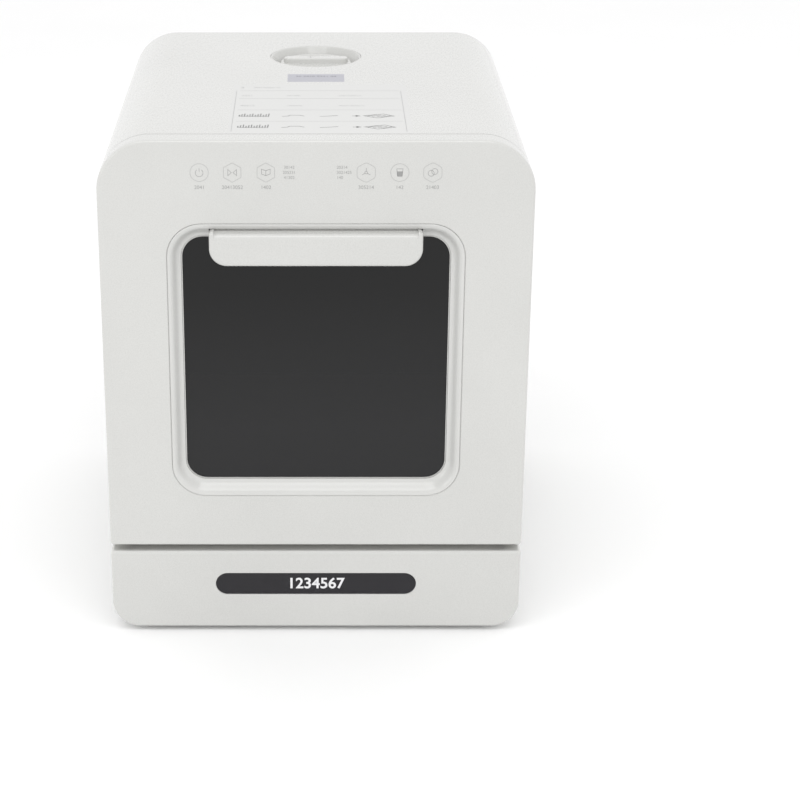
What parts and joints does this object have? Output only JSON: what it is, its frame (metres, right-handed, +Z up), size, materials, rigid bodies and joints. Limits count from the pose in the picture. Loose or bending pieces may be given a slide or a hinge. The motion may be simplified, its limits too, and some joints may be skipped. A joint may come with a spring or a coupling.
{
  "type": "countertop dishwasher",
  "caption": "Compact countertop dishwasher with a drop-down window door, a wire rack on wheels, a hanging upper basket, a spray arm, a water tank and a top fill cap.",
  "frame": {"origin": "on the surface that the feet stand on, at the middle of the overall width and depth", "axes": "+X to the right as seen from the front, +Y to the back, +Z up"},
  "size_m": [0.365, 0.412, 0.4575],
  "materials": {
    "white_shell": "smooth off-white moulding",
    "cream_frame": "smooth cream moulding",
    "bevel_white": "smooth light moulding",
    "dark_glass": "smoked and polished",
    "black_gloss": "polished black",
    "liner_grey": "fine matt",
    "light_grey": "satin",
    "black_rubber": "matt",
    "tub_black": "polished black",
    "coated_wire": "smooth coating",
    "wheel_black": "satin",
    "arm_grey": "satin",
    "hinge_steel": "plain",
    "pump_grey": "matt",
    "board_green": "lacquered",
    "tank_white": "milky",
    "screw_steel": "plain"
  },
  "bodies": {
    "cabinet": {"outer_casing": "white_shell", "front_frame": "cream_frame", "rear_cover": "white_shell", "rear_screws": "screw_steel", "base_pan": "hinge_steel", "feet": "black_rubber", "base_front_panel": "white_shell", "display_lens": "black_gloss", "display_board": "board_green", "tub_shell": "tub_black", "tub_floor": "liner_grey", "wheel_tracks": "liner_grey", "tub_gasket": "black_rubber", "sump_housing": "pump_grey", "spray_hub": "arm_grey", "hinge_brackets": "hinge_steel", "latch_switch": "pump_grey", "wash_pump": "pump_grey", "drain_pump": "pump_grey", "flow_heater": "hinge_steel", "drain_hose": "pump_grey", "inlet_valve": "light_grey", "power_gland": "pump_grey", "control_board": "board_green", "water_tank": "tank_white", "fill_port": "white_shell", "side_vent_grille": "white_shell", "fan_housing": "pump_grey"},
    "door": {"door_panel": "white_shell", "window_surround": "bevel_white", "window_glass": "dark_glass", "door_handle": "white_shell", "door_liner": "liner_grey", "door_inner_frame": "light_grey", "inner_glass": "dark_glass", "door_gasket": "black_rubber", "touch_board": "board_green", "latch_tongue": "light_grey", "hinge_arms": "hinge_steel"},
    "rack": {"rack_floor": "coated_wire", "rack_front_wall": "coated_wire", "rack_rear_wall": "coated_wire", "rack_left_wall": "coated_wire", "rack_right_wall": "coated_wire", "side_frames": "coated_wire", "plate_tines": "coated_wire", "bowl_tines": "coated_wire", "wheel_axles": "coated_wire"},
    "basket": {"upper_basket": "coated_wire"},
    "spray_arm": {"spray_arm": "arm_grey"},
    "filter": {"filter_cup": "light_grey"},
    "fill_plug": {"fill_cap_plug": "light_grey"},
    "fill_knob": {"fill_cap_knob": "white_shell"},
    "fan": {"fan_impeller": "wheel_black"},
    "wheel_left_1": {"wheel_left_1": "wheel_black"},
    "wheel_left_2": {"wheel_left_2": "wheel_black"},
    "wheel_left_3": {"wheel_left_3": "wheel_black"},
    "wheel_right_1": {"wheel_right_1": "wheel_black"},
    "wheel_right_2": {"wheel_right_2": "wheel_black"},
    "wheel_right_3": {"wheel_right_3": "wheel_black"}
  },
  "joints": [
    {"name": "door_hinge", "type": "hinge", "parent": "cabinet", "child": "door", "pos_m": [0, -0.188, 0.093], "axis": [1, 0, 0], "range_deg": [0, 90]},
    {"name": "rack_slide", "type": "slide", "parent": "cabinet", "child": "rack", "axis": [0, -1, 0], "range_m": [0, 0.108]},
    {"name": "basket_lift", "type": "slide", "parent": "rack", "child": "basket", "axis": [0, 0, 1], "range_m": [0, 0.025]},
    {"name": "spray_spin", "type": "hinge", "parent": "cabinet", "child": "spray_arm", "pos_m": [0, -0.0258, 0.108], "axis": [0, 0, 1], "continuous": true},
    {"name": "filter_twist", "type": "hinge", "parent": "cabinet", "child": "filter", "pos_m": [0, -0.1158, 0.091], "axis": [0, 0, 1], "range_deg": [0, 60]},
    {"name": "plug_lift", "type": "slide", "parent": "cabinet", "child": "fill_plug", "axis": [0, 0, 1], "range_m": [0, 0.04]},
    {"name": "knob_turn", "type": "hinge", "parent": "fill_plug", "child": "fill_knob", "pos_m": [0, 0.102, 0.4476], "axis": [0, 0, 1], "range_deg": [0, 90]},
    {"name": "fan_spin", "type": "hinge", "parent": "cabinet", "child": "fan", "pos_m": [0.1621, 0.0502, 0.335], "axis": [1, 0, 0], "continuous": true},
    {"name": "wheel_left_1_roll", "type": "hinge", "parent": "rack", "child": "wheel_left_1", "pos_m": [-0.124, -0.089, 0.1173], "axis": [1, 0, 0], "range_deg": [0, 460]},
    {"name": "wheel_left_2_roll", "type": "hinge", "parent": "rack", "child": "wheel_left_2", "pos_m": [-0.124, -0.043, 0.1173], "axis": [1, 0, 0], "range_deg": [0, 460]},
    {"name": "wheel_left_3_roll", "type": "hinge", "parent": "rack", "child": "wheel_left_3", "pos_m": [-0.124, 0.079, 0.1173], "axis": [1, 0, 0], "range_deg": [0, 460]},
    {"name": "wheel_right_1_roll", "type": "hinge", "parent": "rack", "child": "wheel_right_1", "pos_m": [0.124, -0.089, 0.1173], "axis": [1, 0, 0], "range_deg": [0, 460]},
    {"name": "wheel_right_2_roll", "type": "hinge", "parent": "rack", "child": "wheel_right_2", "pos_m": [0.124, -0.043, 0.1173], "axis": [1, 0, 0], "range_deg": [0, 460]},
    {"name": "wheel_right_3_roll", "type": "hinge", "parent": "rack", "child": "wheel_right_3", "pos_m": [0.124, 0.079, 0.1173], "axis": [1, 0, 0], "range_deg": [0, 460]}
  ],
  "couplings": [
    {"joint": "rack_slide", "follows": "door_hinge", "m_per_rad": 0.06875},
    {"joint": "wheel_left_1_roll", "follows": "door_hinge", "ratio": 5.0926},
    {"joint": "wheel_left_2_roll", "follows": "door_hinge", "ratio": 5.0926},
    {"joint": "wheel_left_3_roll", "follows": "door_hinge", "ratio": 5.0926},
    {"joint": "wheel_right_1_roll", "follows": "door_hinge", "ratio": 5.0926},
    {"joint": "wheel_right_2_roll", "follows": "door_hinge", "ratio": 5.0926},
    {"joint": "wheel_right_3_roll", "follows": "door_hinge", "ratio": 5.0926}
  ]
}
